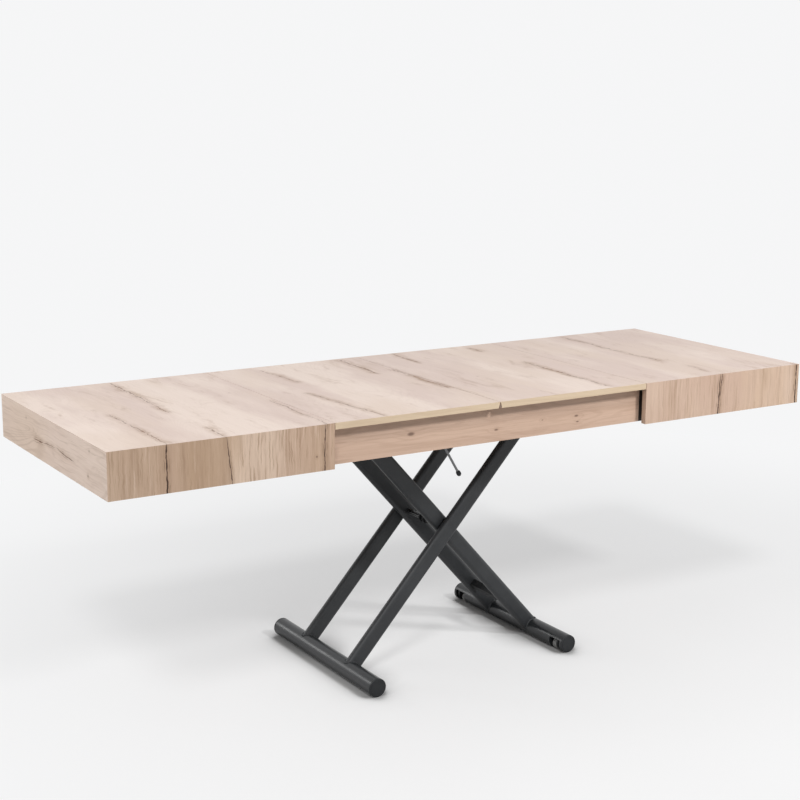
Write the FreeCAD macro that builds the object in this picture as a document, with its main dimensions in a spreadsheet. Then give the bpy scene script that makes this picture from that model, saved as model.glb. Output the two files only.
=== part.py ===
import FreeCAD, Part
import math
import os
import re
import Sketcher

# A table on a scissor base. Two end sections slide out on runners, with two leaves hinged to them between.
# X runs along the table, the front is at -Y, and Z = 0 is the floor under the middle of the top.

# Driving sizes, in millimetres, with the lift's travel and the lever's lean in degrees
sizes = {
    # top
    "tableLength": 2090,
    "tableWidth": 723,
    "tableHeight": 760,
    "closedLength": 1136,
    "sectionDepth": 112,
    "boardThick": 16,
    "leafThick": 16,
    "bandThick": 1.5,
    "seamGap": 1.6,
    "foldClear": 1.2,
    # barrel hinges in the seams
    "barrelRadius": 5,
    "barrelLength": 22,
    "barrelInset": 91.5,
    # chassis
    "railRecess": 31,
    "railThick": 18,
    "railLift": 2.5,
    "restGap": 0.3,
    "endClear": 4,
    "crossHeight": 18,
    "bearerThick": 18,
    "bearerHeight": 72,
    "battenWidth": 24,
    "battenClear": 3,
    # telescopic runners and their carriers
    "runnerHeight": 45,
    "runnerDepth": 12.7,
    "runnerWall": 1.4,
    "runnerPlay": 0.4,
    "runnerInset": 13,
    "runnerDrop": 60,
    "carrierThick": 20,
    # scissor legs
    "footSpan": 614,
    "footOffset": 8,
    "pivotDrop": 53,
    "liftTravel": 21,
    "legWidth": 46,
    "legDepth": 23.4,
    "legWall": 2,
    "legGap": 1.5,
    "innerLegY": 92.5,
    "legSeat": 7,
    "legTail": 10,
    "weldGap": 0.05,
    "runClear": 0.05,
    # foot bars
    "footRadius": 25,
    "footClear": 0.3,
    "footLength": 530,
    "barWall": 2.5,
    "capThick": 4,
    "capBevel": 1,
    "footAxleRadius": 8,
    "bushLength": 20,
    "bushInset": 6,
    # wheels in the right foot
    "wheelDrop": 9,
    "wheelWidth": 15,
    "wheelInset": 36.5,
    "hubRadius": 8,
    "hubPlay": 0.4,
    "wheelPinRadius": 3,
    "pinSeat": 4,
    "slotRise": 10,
    "slotInner": 6,
    "slotOuter": 8,
    "slotRib": 5,
    "slotEnd": 6,
    "plugTail": 10,
    # axles, rollers and what holds them
    "axleRadius": 7,
    "washerRadius": 17,
    "washerPlay": 0.3,
    "slideAxleRadius": 6,
    "rollerRadius": 15,
    "rollerWidth": 14,
    "rollerGap": 5.9,
    "rollerClear": 0.3,
    "channelWall": 2,
    "channelGap": 2,
    "channelLip": 4,
    "channelLead": 30,
    "channelEnd": 8,
    "bracketThick": 4,
    "bracketWidth": 60,
    "bracketHeight": 44,
    "spacerRadius": 11,
    # gas spring
    "clevisReach": 32,
    "clevisPinRadius": 4,
    "clevisHeadRadius": 9,
    "clevisRootRadius": 12,
    "clevisCheek": 4,
    "clevisPlay": 1,
    "eyeRadius": 9,
    "eyeDepth": 12,
    "eyeClear": 1.7,
    "springRodRadius": 4,
    "springRodLength": 160,
    "cylinderRadius": 10,
    "cylinderStart": 70,
    "cylinderLength": 260,
    "cylinderFoot": 22,
    "cylinderFootDepth": 16,
    "crossBarHeight": 20,
    # release lever
    "leverX": -86.7,
    "leverDrop": 88,
    "leverOffset": 15,
    "leverLean": 31,
    "leverLength": 157,
    "leverRadius": 3.2,
    "leverHubRadius": 8,
    "leverHubDepth": 10,
    "leverPinRadius": 3.5,
    "leverPinOver": 7,
    "leverPlate": 28,
    "leverPlateThick": 4,
    "knobRadius": 6.6,
    "knobHalfLength": 9,
    "knobSocket": 10.5,
    # every cutting tool runs past the faces it cuts by this much
    "overrun": 5,
}

# Sizes worked out from the driving ones
derived = {
    "halfLength": "tableLength / 2",
    "halfWidth": "tableWidth / 2",
    "leafLength": "(tableLength - closedLength) / 2",
    "leafUndercut": "leafThick / pi - seamGap + foldClear",
    "sectionEdge": "leafLength + seamGap / 2",
    "sectionBottom": "tableHeight - sectionDepth",
    "sectionUnder": "tableHeight - boardThick",
    "barrelY": "halfWidth - barrelInset",
    "railTop": "tableHeight - max(boardThick; leafThick) - restGap",
    "railBottom": "sectionBottom + railLift",
    "railOuter": "halfWidth - railRecess",
    "railInner": "railOuter - railThick",
    "chassisHalf": "closedLength / 2 - boardThick - endClear",
    "bearerInner": "outerLegFace + rollerGap + rollerWidth + channelGap + channelWall",
    "bearerOuter": "bearerInner + bearerThick",
    "bearerTop": "railBottom + bearerHeight",
    "runnerStart": "-chassisHalf + runnerInset",
    "runnerStop": "battenWidth / 2 + battenClear",
    "runnerLength": "-runnerStart - runnerStop",
    "runnerStep": "runnerWall + runnerPlay",
    "runnerZ": "tableHeight - runnerDrop",
    "carrierOuter": "railInner - runnerDepth",
    "outerLegY": "innerLegY + legDepth + legGap",
    "outerLegFace": "outerLegY + legDepth / 2",
    "innerLegFace": "innerLegY + legDepth / 2",
    "innerLegBack": "innerLegY - legDepth / 2",
    "leftFootX": "footOffset - footSpan / 2",
    "rightFootX": "footOffset + footSpan / 2",
    "pivotHeight": "tableHeight - pivotDrop",
    "legRise": "pivotHeight - footRadius",
    "legLength": "sqrt(footSpan ^ 2 + legRise ^ 2)",
    "legTilt": "atan(footSpan / legRise)",
    "legAngle": "atan(legRise / footSpan)",
    "crossZ": "(footRadius + pivotHeight) / 2",
    "lift": "liftTravel * 1 deg",
    "barRadius": "footRadius - footClear",
    "barBore": "barRadius - barWall",
    "barHalf": "footLength / 2 - capThick",
    "wheelY": "barHalf - wheelInset",
    "wheelRadius": "footRadius - wheelDrop * cos(lift / 2)",
    "wheelX": "rightFootX - wheelDrop * sin(lift / 2)",
    "slotStart": "wheelY - wheelWidth / 2 - slotInner",
    "slotStop": "wheelY + wheelWidth / 2 + slotOuter",
    "notchStop": "barHalf - slotEnd",
    "rollerInner": "outerLegFace + rollerGap",
    "channelHalf": "rollerRadius + rollerClear",
    "springLine": "clevisReach * (1 + cos(lift)) / 2",
    "eyeStart": "-clevisReach * sin(lift)",
    "cylinderEnd": "cylinderStart + cylinderLength",
    "leverY": "bearerOuter + leverOffset",
    "leverZ": "tableHeight - leverDrop",
}

doc = FreeCAD.newDocument("ConvertibleTable")
sheet = doc.addObject("Spreadsheet::Sheet", "Size")
for row, (word, value) in enumerate(sizes.items(), start=1):
    sheet.set(f"A{row}", word)
    sheet.set(f"B{row}", str(value))
    sheet.setAlias(f"B{row}", word)
doc.recompute()

nodes = []
xAxis = FreeCAD.Vector(1, 0, 0)
yAxis = FreeCAD.Vector(0, 1, 0)
zAxis = FreeCAD.Vector(0, 0, 1)


def expand(text):
    # A size's name becomes its cell, and a derived name becomes its formula in brackets
    def swap(match):
        word = match.group(0)
        if word in sizes:
            return f"Size.{word}"
        if word in derived:
            return f"({expand(derived[word])})"
        return word

    return re.sub(r"[A-Za-z_]\w*", swap, text)


def tie(item, formulas):
    for path, text in formulas.items():
        item.setExpression(path, expand(text))


def place(item, x="0", y="0", z="0", axis=None, angle="0 deg"):
    # A turn is about one fixed axis, by an angle that may follow the sizes
    if axis:
        item.Placement = FreeCAD.Placement(FreeCAD.Vector(), FreeCAD.Rotation(axis, 1))
        tie(item, {"Placement.Rotation.Angle": angle})
    tie(item, {"Placement.Base.x": x, "Placement.Base.y": y, "Placement.Base.z": z})
    return item


def box(x0, x1, y0, y1, z0, z1):
    item = doc.addObject("Part::Box", "Block")
    tie(item, {"Length": f"({x1}) - ({x0})", "Width": f"({y1}) - ({y0})", "Height": f"({z1}) - ({z0})"})
    return place(item, x0, y0, z0)


def rod(radius, along, start, stop, x="0", y="0", z="0"):
    # A round bar along one axis, from start to stop on that axis
    item = doc.addObject("Part::Cylinder", "Bar")
    tie(item, {"Radius": radius, "Height": f"({stop}) - ({start})"})
    if along == "x":
        return place(item, start, y, z, yAxis, "90 deg")
    if along == "y":
        return place(item, x, start, z, xAxis, "-90 deg")
    return place(item, x, y, start)


def fuse(*items):
    item = doc.addObject("Part::MultiFuse", "Joined")
    item.Shapes = list(items)
    return item


def cut(base, *tools):
    item = doc.addObject("Part::Cut", "Shaped")
    item.Base = base
    item.Tool = fuse(*tools) if len(tools) > 1 else tools[0]
    return item


def ring(outer, inner, start, stop, x="0", z="0"):
    # A round tube along Y
    hole = rod(inner, "y", f"{start} - overrun", f"{stop} + overrun", x=x, z=z)
    return cut(rod(outer, "y", start, stop, x=x, z=z), hole)


def mirror(item, normal):
    twin = doc.addObject("Part::Mirroring", "Twin")
    twin.Source = item
    twin.Normal = normal
    return twin


def group(*items):
    item = doc.addObject("Part::Compound", "Group")
    item.Links = list(items)
    return item


def pair(item, normal=yAxis):
    return group(item, mirror(item, normal))


def node(label, item):
    item.Label = label
    nodes.append(item)
    return item


def newSketch(body, role):
    plane = next(item for item in body.Origin.OriginFeatures if item.Role == role)
    sketch = body.newObject("Sketcher::SketchObject", "Profile")
    sketch.AttachmentSupport = [(plane, "")]
    sketch.MapMode = "FlatFace"
    return sketch


def hold(sketch, formula, *terms):
    # A dimension of the sketch that follows the sizes
    index = sketch.addConstraint(Sketcher.Constraint(*terms))
    sketch.setExpression(f"Constraints[{index}]", expand(formula))


def addSlot(sketch, flat, radius, startFlat, startRadius):
    # A flat-oval loop: two straight sides joined by half circles
    first = sketch.GeometryCount
    signs = ((-1, 1), (1, 1), (1, -1), (-1, -1))
    corner = [FreeCAD.Vector(a * startFlat, b * startRadius, 0) for a, b in signs]
    ends = [FreeCAD.Vector(a * startFlat, 0, 0) for a in (1, -1)]
    quarter = math.pi / 2
    sketch.addGeometry(Part.LineSegment(corner[0], corner[1]))
    sketch.addGeometry(Part.ArcOfCircle(Part.Circle(ends[0], zAxis, startRadius), -quarter, quarter))
    sketch.addGeometry(Part.LineSegment(corner[2], corner[3]))
    sketch.addGeometry(Part.ArcOfCircle(Part.Circle(ends[1], zAxis, startRadius), quarter, 3 * quarter))
    for a, aEnd, b, bEnd in ((0, 2, 1, 2), (1, 1, 2, 1), (2, 2, 3, 2), (3, 1, 0, 1)):
        sketch.addConstraint(Sketcher.Constraint("Tangent", first + a, aEnd, first + b, bEnd))
    sketch.addConstraint(Sketcher.Constraint("Horizontal", first))
    sketch.addConstraint(Sketcher.Constraint("PointOnObject", first + 1, 3, -1))
    sketch.addConstraint(Sketcher.Constraint("Symmetric", first + 1, 3, first + 3, 3, -2))
    hold(sketch, flat, "DistanceX", -1, 1, first + 1, 3, startFlat)
    hold(sketch, radius, "Radius", first + 1, startRadius)


def ovalTube():
    # A leg's tube, padded along its own Z from its seat on the foot bar to its upper end
    body = doc.addObject("PartDesign::Body", "Tube")
    sketch = newSketch(body, "XY_Plane")
    tie(sketch, {"AttachmentOffset.Base.z": "legSeat"})
    flat = (sizes["legWidth"] - sizes["legDepth"]) / 2
    radius = sizes["legDepth"] / 2
    addSlot(sketch, "(legWidth - legDepth) / 2", "legDepth / 2", flat, radius)
    addSlot(sketch, "(legWidth - legDepth) / 2", "legDepth / 2 - legWall", flat, radius - sizes["legWall"])
    pad = body.newObject("PartDesign::Pad", "Pad")
    pad.Profile = sketch
    tie(pad, {"Length": "legLength + legTail - legSeat"})
    return body


def slopedBoard(thick, outer, inner):
    # A board whose edges slope between its outer face at local Y = 0 and its inner face, both x0, x1, z0, z1
    item = doc.addObject("Part::Wedge", "Board")
    tie(item, {"Ymin": "0", "Ymax": thick})
    tie(item, dict(zip(("Xmin", "Xmax", "Zmin", "Zmax"), outer)))
    tie(item, dict(zip(("X2min", "X2max", "Z2min", "Z2max"), inner)))
    return item


def barrels(radius, start, stop):
    # Three round barrels along X in a seam, at mid thickness
    middle = "tableHeight - boardThick / 2"
    return [rod(radius, "x", start, stop, y=y, z=middle) for y in ("-barrelY", "0", "barrelY")]


def runnerMember(start, yOuter, yInner, height, webOutside):
    # A C-shaped runner member of the front pair, open towards the table's middle or away from it
    y0 = f"-({yOuter})"
    y1 = f"-({yInner})"
    bar = box(start, f"{start} + runnerLength", y0, y1,
              f"runnerZ - ({height}) / 2", f"runnerZ + ({height}) / 2")
    hollow0 = f"{y0} + runnerWall" if webOutside else f"{y0} - overrun"
    hollow1 = f"{y1} + overrun" if webOutside else f"{y1} - runnerWall"
    half = f"(({height}) / 2 - runnerWall)"
    hollow = box(f"{start} - overrun", f"{start} + runnerLength + overrun", hollow0, hollow1,
                 f"runnerZ - {half}", f"runnerZ + {half}")
    return cut(bar, hollow)


def bothEnds(name, item):
    # A piece of the left end and its mirror image at the right end
    node(f"left_{name}", item)
    node(f"right_{name}", mirror(item, xAxis))


# End sections: top, aprons and end panel, mitred together
topBoard = slopedBoard(
    "boardThick",
    ("-halfLength", "-sectionEdge", "-halfWidth", "halfWidth"),
    ("-halfLength + boardThick", "-sectionEdge", "-halfWidth + boardThick", "halfWidth - boardThick"),
)
place(topBoard, z="tableHeight", axis=xAxis, angle="-90 deg")
topBores = barrels("barrelRadius + runClear", "-sectionEdge - barrelLength", "-sectionEdge + seamGap / 4")
bothEnds("top", cut(topBoard, *topBores))
apron = slopedBoard(
    "boardThick",
    ("-halfLength", "-sectionEdge", "sectionBottom", "tableHeight"),
    ("-halfLength + boardThick", "-sectionEdge", "sectionBottom", "sectionUnder"),
)
place(apron, y="-halfWidth")
bothEnds("front_apron", apron)
bothEnds("back_apron", mirror(apron, yAxis))
panel = slopedBoard(
    "boardThick",
    ("-halfWidth", "halfWidth", "sectionBottom", "tableHeight"),
    ("-halfWidth + boardThick", "halfWidth - boardThick", "sectionBottom", "sectionUnder"),
)
place(panel, x="-halfLength", axis=zAxis, angle="-90 deg")
bothEnds("end_panel", panel)
carrier = box("-halfLength + boardThick", "-leafLength - runnerStop", "-carrierOuter",
              "-carrierOuter + carrierThick", "runnerZ - runnerHeight / 2", "sectionUnder")
bothEnds("carriers", pair(carrier))
bothEnds("hinge_barrels", group(*barrels("barrelRadius", "-sectionEdge - barrelLength", "-sectionEdge")))

# Leaves, undercut where they meet, with an edge band on the front and back of each
leafEdge = "-leafLength + seamGap / 2"


def leafSlab(y0, y1):
    slab = slopedBoard(
        "leafThick",
        (leafEdge, "-seamGap / 2", y0, y1),
        (leafEdge, "-seamGap / 2 - leafUndercut", y0, y1),
    )
    return place(slab, z="tableHeight", axis=xAxis, angle="-90 deg")


leafBoard = leafSlab("-halfWidth + bandThick", "halfWidth - bandThick")
leafBores = barrels("barrelRadius + runClear", f"{leafEdge} - seamGap / 4", f"{leafEdge} + barrelLength")
bothEnds("leaf_board", cut(leafBoard, *leafBores))
band = leafSlab("-halfWidth", "-halfWidth + bandThick")
bothEnds("leaf_edge_bands", pair(band))
bothEnds("leaf_hinge_barrels", group(*barrels("barrelRadius", leafEdge, f"{leafEdge} + barrelLength")))

# Telescopic runners on the inner faces of the rails, the middle member half way out
fixedMember = runnerMember("runnerStart", "railInner", "carrierOuter + runnerPlay", "runnerHeight", True)
bothEnds("runner_fixed", pair(fixedMember))
middleMember = runnerMember("runnerStart - leafLength / 2", "railInner - runnerStep",
                            "carrierOuter + runnerPlay", "runnerHeight - 2 * runnerStep", True)
bothEnds("runner_middle", pair(middleMember))
endMember = runnerMember("runnerStart - leafLength", "railInner - 2 * runnerStep", "carrierOuter",
                         "runnerHeight - 4 * runnerStep", False)
bothEnds("runner_end", pair(endMember))

# Chassis of rails, low cross rails, bearers and a batten under the middle seam
rail = box("-chassisHalf", "chassisHalf", "-railOuter", "-railInner", "railBottom", "railTop")
node("chassis_rail_front", rail)
node("chassis_rail_back", mirror(rail, yAxis))
crossRail = box("-chassisHalf", "-chassisHalf + railThick", "-railInner", "railInner",
                "railBottom", "railBottom + crossHeight")
node("chassis_cross_rails", pair(crossRail, xAxis))
bearer = box("-chassisHalf + railThick", "chassisHalf - railThick", "-bearerOuter", "-bearerInner",
             "railBottom", "bearerTop")
node("chassis_bearers", pair(bearer))
batten = box("-battenWidth / 2", "battenWidth / 2", "-railInner", "railInner", "bearerTop", "railTop")
node("centre_batten", batten)

# Upper left pivot: brackets on the bearers, an axle through the inner legs, spacers beside them
plate = box("leftFootX - bracketWidth / 2", "leftFootX + bracketWidth / 2", "-bearerInner",
            "-bearerInner + bracketThick", "bearerTop - bracketHeight", "bearerTop")
plateHole = rod("axleRadius + runClear", "y", "-bearerInner - overrun",
                "-bearerInner + bracketThick + overrun", x="leftFootX", z="pivotHeight")
node("pivot_brackets", pair(cut(plate, plateHole)))
upperAxle = rod("axleRadius", "y", "-bearerInner", "bearerInner", x="leftFootX", z="pivotHeight")
node("upper_pivot_axle", upperAxle)
spacer = ring("spacerRadius", "axleRadius + runClear", "-bearerInner + bracketThick",
              "-innerLegFace - restGap", x="leftFootX", z="pivotHeight")
node("pivot_spacers", pair(spacer))

# Upper right slide: channels on the bearers, an axle through the outer legs, a roller at each end
channelFront = "-outerLegFace - channelLip"
channelBar = box("rightFootX - channelLead", "chassisHalf - channelEnd", "-bearerInner", channelFront,
                 "pivotHeight - channelHalf - channelWall", "pivotHeight + channelHalf + channelWall")
channelHollow = box("rightFootX - channelLead - overrun", "chassisHalf - channelEnd + overrun",
                    "-bearerInner + channelWall", f"{channelFront} + overrun",
                    "pivotHeight - channelHalf", "pivotHeight + channelHalf")
node("slide_channels", pair(cut(channelBar, channelHollow)))
node("slide_axle", rod("slideAxleRadius", "y", "-rollerInner - rollerWidth", "rollerInner + rollerWidth",
                       x="rightFootX", z="pivotHeight"))
roller = ring("rollerRadius", "slideAxleRadius + runClear", "-rollerInner - rollerWidth", "-rollerInner",
              x="rightFootX", z="pivotHeight")
node("roller_front", roller)
node("roller_back", mirror(roller, yAxis))

# Outer legs, from the left foot bar to the slide axle, and inner legs, from the right one to the pivot axle
axleHole = rod("axleRadius + runClear", "y", "-outerLegY", "-innerLegBack + overrun",
               x="footOffset", z="crossZ")
outerLeg = place(ovalTube(), "leftFootX", "-outerLegY", "footRadius", yAxis, "legTilt")
outerSaddle = rod("barRadius + weldGap", "y", "-outerLegFace - overrun", "-innerLegY",
                  x="leftFootX", z="footRadius")
slideHole = rod("slideAxleRadius + runClear", "y", "-outerLegFace - overrun", "-innerLegY",
                x="rightFootX", z="pivotHeight")
outerLegFront = cut(outerLeg, outerSaddle, axleHole, slideHole)
node("outer_leg_front", outerLegFront)
node("outer_leg_back", mirror(outerLegFront, yAxis))
innerLeg = place(ovalTube(), "rightFootX", "-innerLegY", "footRadius", yAxis, "-legTilt")
innerSaddle = rod("barRadius + weldGap", "y", "-outerLegY", "-innerLegBack + overrun",
                  x="rightFootX", z="footRadius")
pivotHole = rod("axleRadius + runClear", "y", "-outerLegY", "-innerLegBack + overrun",
                x="leftFootX", z="pivotHeight")
innerLegFront = cut(innerLeg, innerSaddle, axleHole, pivotHole)
node("inner_leg_front", innerLegFront)
node("inner_leg_back", mirror(innerLegFront, yAxis))
axleEnd = "(outerLegFace - legWall)"
node("centre_axle", rod("axleRadius", "y", f"-{axleEnd}", axleEnd, x="footOffset", z="crossZ"))
washer = ring("washerRadius", "axleRadius + runClear", "-innerLegFace - legGap + washerPlay",
              "-innerLegFace - washerPlay", x="footOffset", z="crossZ")
node("axle_washers", pair(washer))

# Left foot: a bar that turns on an axle between two caps that stand still
node("foot_axle", rod("footAxleRadius", "y", "-barHalf", "barHalf", x="leftFootX", z="footRadius"))


def capDisc(radius, x):
    # A front end cap's disc with its outer edge bevelled
    disc = rod(radius, "y", "-barHalf - capThick + capBevel", "-barHalf", x=x, z="footRadius")
    edge = doc.addObject("Part::Cone", "Bevel")
    tie(edge, {"Radius1": f"{radius} - capBevel", "Radius2": radius, "Height": "capBevel"})
    place(edge, x, "-barHalf - capThick", "footRadius", xAxis, "-90 deg")
    return fuse(disc, edge)


node("fixed_foot_caps", pair(capDisc("footRadius", "leftFootX")))
node("fixed_foot_bar", ring("barRadius", "barBore", "-barHalf + footClear", "barHalf - footClear",
                            x="leftFootX", z="footRadius"))
bush = ring("barBore - runClear", "footAxleRadius + runClear", "-barHalf + bushInset",
            "-barHalf + bushInset + bushLength", x="leftFootX", z="footRadius")
node("foot_bushes", pair(bush))

# Right foot: a bar with a notch near each end, and caps whose plugs hold a wheel on a pin. The wheel turns
# in a slot of the plug, and a rib beyond it carries the pin's outer end.
wheelZ = "wheelRadius"


def notch(start, stop):
    return box("rightFootX - footRadius", "rightFootX + footRadius", f"-({stop})", f"-({start})",
               "-overrun", "footRadius + slotRise")


barNotch = notch("slotStart", "notchStop")
rightBar = ring("barRadius", "barBore", "-barHalf", "barHalf", x="rightFootX", z="footRadius")
node("rolling_foot_bar", cut(rightBar, barNotch, mirror(barNotch, yAxis)))
plug = rod("barBore - runClear", "y", "-barHalf", "-slotStart + plugTail", x="rightFootX", z="footRadius")
pinStart = "-slotStop - pinSeat"
pinStop = "-slotStart + pinSeat"
pinHole = rod("wheelPinRadius + runClear", "y", pinStart, pinStop, x="wheelX", z=wheelZ)
rightCap = cut(fuse(capDisc("barRadius", "rightFootX"), plug), notch("slotStart", "slotStop"),
               notch("slotStop + slotRib", "notchStop"), pinHole)
node("rolling_foot_caps", pair(rightCap))
node("wheel_pins", pair(rod("wheelPinRadius", "y", pinStart, pinStop, x="wheelX", z=wheelZ)))
wheel = fuse(
    ring("wheelRadius", "wheelPinRadius + runClear", "-wheelY - wheelWidth / 2", "-wheelY + wheelWidth / 2",
         x="wheelX", z=wheelZ),
    ring("hubRadius", "wheelPinRadius + runClear", "-slotStop + hubPlay", "-slotStart - hubPlay",
         x="wheelX", z=wheelZ),
)
node("wheel_front", wheel)
node("wheel_back", mirror(wheel, yAxis))

# Gas spring beside the inner legs, from a cross bar between them to a clevis on the centre axle.
# Its pieces are drawn from the centre axle, along X, and then turned into line.
cheekStart = "-eyeDepth / 2 - clevisPlay - clevisCheek"
cheekEnd = "-eyeDepth / 2 - clevisPlay"
cheek = fuse(
    rod("clevisRootRadius", "y", cheekStart, cheekEnd),
    box("0", "clevisReach", cheekStart, cheekEnd, "-clevisHeadRadius", "clevisHeadRadius"),
    rod("clevisHeadRadius", "y", cheekStart, cheekEnd, x="clevisReach"),
)
cheekHole = rod("axleRadius + runClear", "y", f"{cheekStart} - overrun", f"{cheekEnd} + overrun")
cheekFront = cut(cheek, cheekHole)
clevisPin = rod("clevisPinRadius", "y", cheekStart, f"-({cheekStart})", x="clevisReach")
clevis = fuse(cheekFront, mirror(cheekFront, yAxis), clevisPin)
place(clevis, "footOffset", "0", "crossZ", yAxis, "legAngle - 90 deg - lift")
node("spring_clevis", clevis)
eye = rod("eyeRadius", "y", "-eyeDepth / 2", "eyeDepth / 2", x="eyeStart", z="springLine")
eyeBore = rod("clevisPinRadius + eyeClear", "y", "-eyeDepth / 2 - overrun", "eyeDepth / 2 + overrun",
              x="eyeStart", z="springLine")
springBar = rod("springRodRadius", "x", "eyeStart", "eyeStart + springRodLength", z="springLine")
springRod = cut(fuse(eye, springBar), eyeBore)
place(springRod, "footOffset", "0", "crossZ", yAxis, "legAngle")
node("gas_spring_rod", springRod)
cylinder = fuse(
    rod("cylinderRadius", "x", "cylinderStart", "cylinderEnd", z="springLine"),
    box("cylinderEnd", "cylinderEnd + cylinderFoot", "-cylinderFootDepth / 2", "cylinderFootDepth / 2",
        "crossBarHeight / 2", "springLine + cylinderRadius"),
)
cylinderBore = rod("springRodRadius + runClear", "x", "cylinderStart - overrun",
                   "cylinderEnd - cylinderFoot", z="springLine")
cylinderBody = cut(cylinder, cylinderBore)
place(cylinderBody, "footOffset", "0", "crossZ", yAxis, "legAngle")
node("gas_spring_cylinder", cylinderBody)
crossBar = box("cylinderEnd", "cylinderEnd + cylinderFoot", "-innerLegBack", "innerLegBack",
               "-crossBarHeight / 2", "crossBarHeight / 2")
place(crossBar, "footOffset + cylinderEnd * cos(legAngle) - crossBarHeight / 2 * sin(legAngle)",
      "-innerLegBack", "crossZ - cylinderEnd * sin(legAngle) - crossBarHeight / 2 * cos(legAngle)",
      yAxis, "legAngle")
node("spring_cross_bar", crossBar)

# Release lever on a bracketed pin, drawn along Z from its hub and then turned to hang
bracketPlate = box("leverX - leverPlate / 2", "leverX + leverPlate / 2", "-bearerOuter - leverPlateThick",
                   "-bearerOuter", "leverZ - leverPlate / 2", "leverZ + leverPlate / 2")
leverPin = rod("leverPinRadius", "y", "-leverY - leverPinOver", "-bearerOuter", x="leverX", z="leverZ")
node("lever_bracket", fuse(bracketPlate, leverPin))
hub = rod("leverHubRadius", "y", "-leverHubDepth / 2", "leverHubDepth / 2")
hubBore = rod("leverPinRadius + runClear", "y", "-leverHubDepth / 2 - overrun",
              "leverHubDepth / 2 + overrun")
leverBody = cut(fuse(hub, rod("leverRadius", "z", "0", "leverLength")), hubBore)
place(leverBody, "leverX", "-leverY", "leverZ", yAxis, "180 deg - leverLean * 1 deg")
node("release_lever", leverBody)
oval = doc.addObject("Part::Ellipsoid", "Oval")
tie(oval, {"Radius1": "knobHalfLength", "Radius2": "knobRadius", "Radius3": "knobRadius"})
place(oval, z="leverLength")
knob = cut(oval, rod("leverRadius + runClear", "z", "leverLength - knobSocket", "leverLength"))
place(knob, "leverX", "-leverY", "leverZ", yAxis, "180 deg - leverLean * 1 deg")
node("lever_knob", knob)

doc.recompute()
failed = [item.Label for item in doc.Objects if {"Invalid", "Error"} & set(item.State)]
for item in nodes:
    if item.Shape.isNull() or not item.Shape.isValid() or not item.Shape.Solids:
        failed.append(item.Label)
if failed:
    raise SystemExit(f"not built: {failed}")
os.makedirs("parts", exist_ok=True)
for item in nodes:
    item.Shape.exportStep(f"parts/{item.Label}.step")
print(len(nodes), "nodes,", sum(len(item.Shape.Solids) for item in nodes), "solids")
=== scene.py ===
import math

import bpy
import numpy as np
from mathutils import Matrix, Vector


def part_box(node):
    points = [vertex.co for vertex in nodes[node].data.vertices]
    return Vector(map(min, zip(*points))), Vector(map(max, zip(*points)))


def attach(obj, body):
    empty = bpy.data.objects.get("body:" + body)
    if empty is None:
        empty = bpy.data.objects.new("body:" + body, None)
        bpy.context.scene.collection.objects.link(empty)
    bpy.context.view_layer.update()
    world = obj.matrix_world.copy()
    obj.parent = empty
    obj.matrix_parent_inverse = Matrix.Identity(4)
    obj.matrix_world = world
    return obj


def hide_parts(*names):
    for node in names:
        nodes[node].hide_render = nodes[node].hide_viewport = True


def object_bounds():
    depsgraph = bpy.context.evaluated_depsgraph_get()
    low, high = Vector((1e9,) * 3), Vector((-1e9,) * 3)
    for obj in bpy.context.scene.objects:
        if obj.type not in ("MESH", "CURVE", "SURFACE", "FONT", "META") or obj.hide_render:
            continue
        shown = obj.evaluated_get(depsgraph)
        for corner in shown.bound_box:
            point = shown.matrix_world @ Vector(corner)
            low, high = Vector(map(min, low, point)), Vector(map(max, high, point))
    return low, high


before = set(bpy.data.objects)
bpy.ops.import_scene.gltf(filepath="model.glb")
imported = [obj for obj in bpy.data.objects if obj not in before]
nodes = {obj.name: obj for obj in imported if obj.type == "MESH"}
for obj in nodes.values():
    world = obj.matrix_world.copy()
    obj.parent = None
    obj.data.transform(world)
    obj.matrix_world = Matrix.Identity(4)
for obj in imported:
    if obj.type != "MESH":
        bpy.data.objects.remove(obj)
cadBox = [list(corner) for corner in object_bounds()]
scene = bpy.context.scene
scene.view_settings.view_transform = "Standard"
print("frame loaded with", len(nodes), "nodes")


# Node helpers: every value is either a plain number or a socket to link from
def plug(tree, socket, value):
    if isinstance(value, bpy.types.NodeSocket):
        tree.links.new(value, socket)
    else:
        socket.default_value = value


def calc(tree, operation, *values):
    node = tree.nodes.new("ShaderNodeMath")
    node.operation = operation
    for socket, value in zip(node.inputs, values):
        plug(tree, socket, value)
    return node.outputs[0]


def stretch(tree, vector, factors):
    node = tree.nodes.new("ShaderNodeVectorMath")
    node.operation = "MULTIPLY"
    plug(tree, node.inputs[0], vector)
    node.inputs[1].default_value = factors
    return node.outputs[0]


def noise(tree, vector, turns, detail, roughness=0.55, distortion=0.0):
    # as many turns of noise in a metre as the three numbers say along each direction
    node = tree.nodes.new("ShaderNodeTexNoise")
    plug(tree, node.inputs["Vector"], stretch(tree, vector, turns))
    node.inputs["Scale"].default_value = 1.0
    node.inputs["Detail"].default_value = detail
    node.inputs["Roughness"].default_value = roughness
    node.inputs["Distortion"].default_value = distortion
    return node.outputs["Fac"]


def remap(tree, value, low, high, toLow=0.0, toHigh=1.0, smooth=True):
    node = tree.nodes.new("ShaderNodeMapRange")
    node.interpolation_type = "SMOOTHSTEP" if smooth else "LINEAR"
    for name, part in (("Value", value), ("From Min", low), ("From Max", high)):
        plug(tree, node.inputs[name], part)
    plug(tree, node.inputs["To Min"], toLow)
    plug(tree, node.inputs["To Max"], toHigh)
    return node.outputs[0]


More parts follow.
